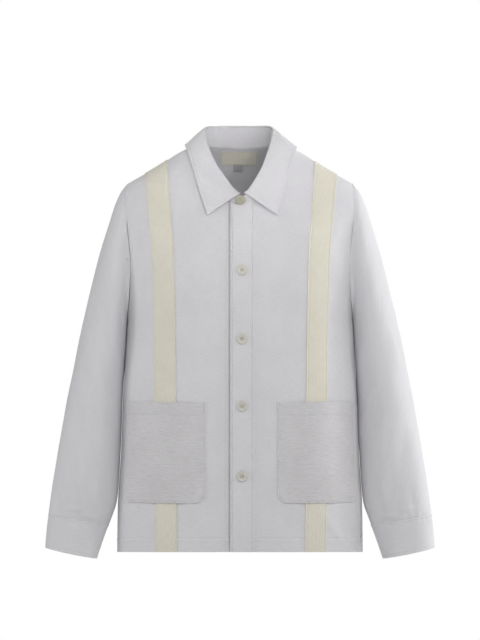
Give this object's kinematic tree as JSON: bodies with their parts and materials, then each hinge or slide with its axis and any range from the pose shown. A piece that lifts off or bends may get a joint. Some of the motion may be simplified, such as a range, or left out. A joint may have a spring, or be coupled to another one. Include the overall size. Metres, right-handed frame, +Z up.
{
  "type": "shirt jacket",
  "caption": "Filled-out button-front shirt jacket: collar, long sleeves with plain cuffs, patch pockets and a contrast band down each front.",
  "frame": {"origin": "midway between the two neck points of the shoulder seams, where the wearer's shoulders carry the garment", "axes": "+Z up the body, -Y out of the chest, +X towards the wearer's left"},
  "size_m": [0.68, 0.259, 0.7573],
  "materials": {
    "cloth": "white crinkled cotton, matte",
    "pocket_cloth": "white looped cotton, rough and matte",
    "cream_band": "cream woven cotton, matte",
    "label": "bare taupe woven satin tape",
    "size_tab": "bare grey woven tape",
    "button": "cream moulded plastic, soft gloss"
  },
  "bodies": {
    "root": {"back": "cloth", "front_left": "cloth", "front_right": "cloth", "placket": "cloth", "stripe_left": "cream_band", "stripe_right": "cream_band", "pocket_left": "pocket_cloth", "pocket_right": "pocket_cloth", "sleeve_left": "cloth", "sleeve_right": "cloth", "cuff_left": "cloth", "cuff_right": "cloth", "collar_stand": "cloth", "collar_leaf": "cloth", "neck_label": "label", "size_tab": "size_tab", "button_1": "button", "button_2": "button", "button_3": "button", "button_4": "button", "button_5": "button"}
  },
  "joints": []
}
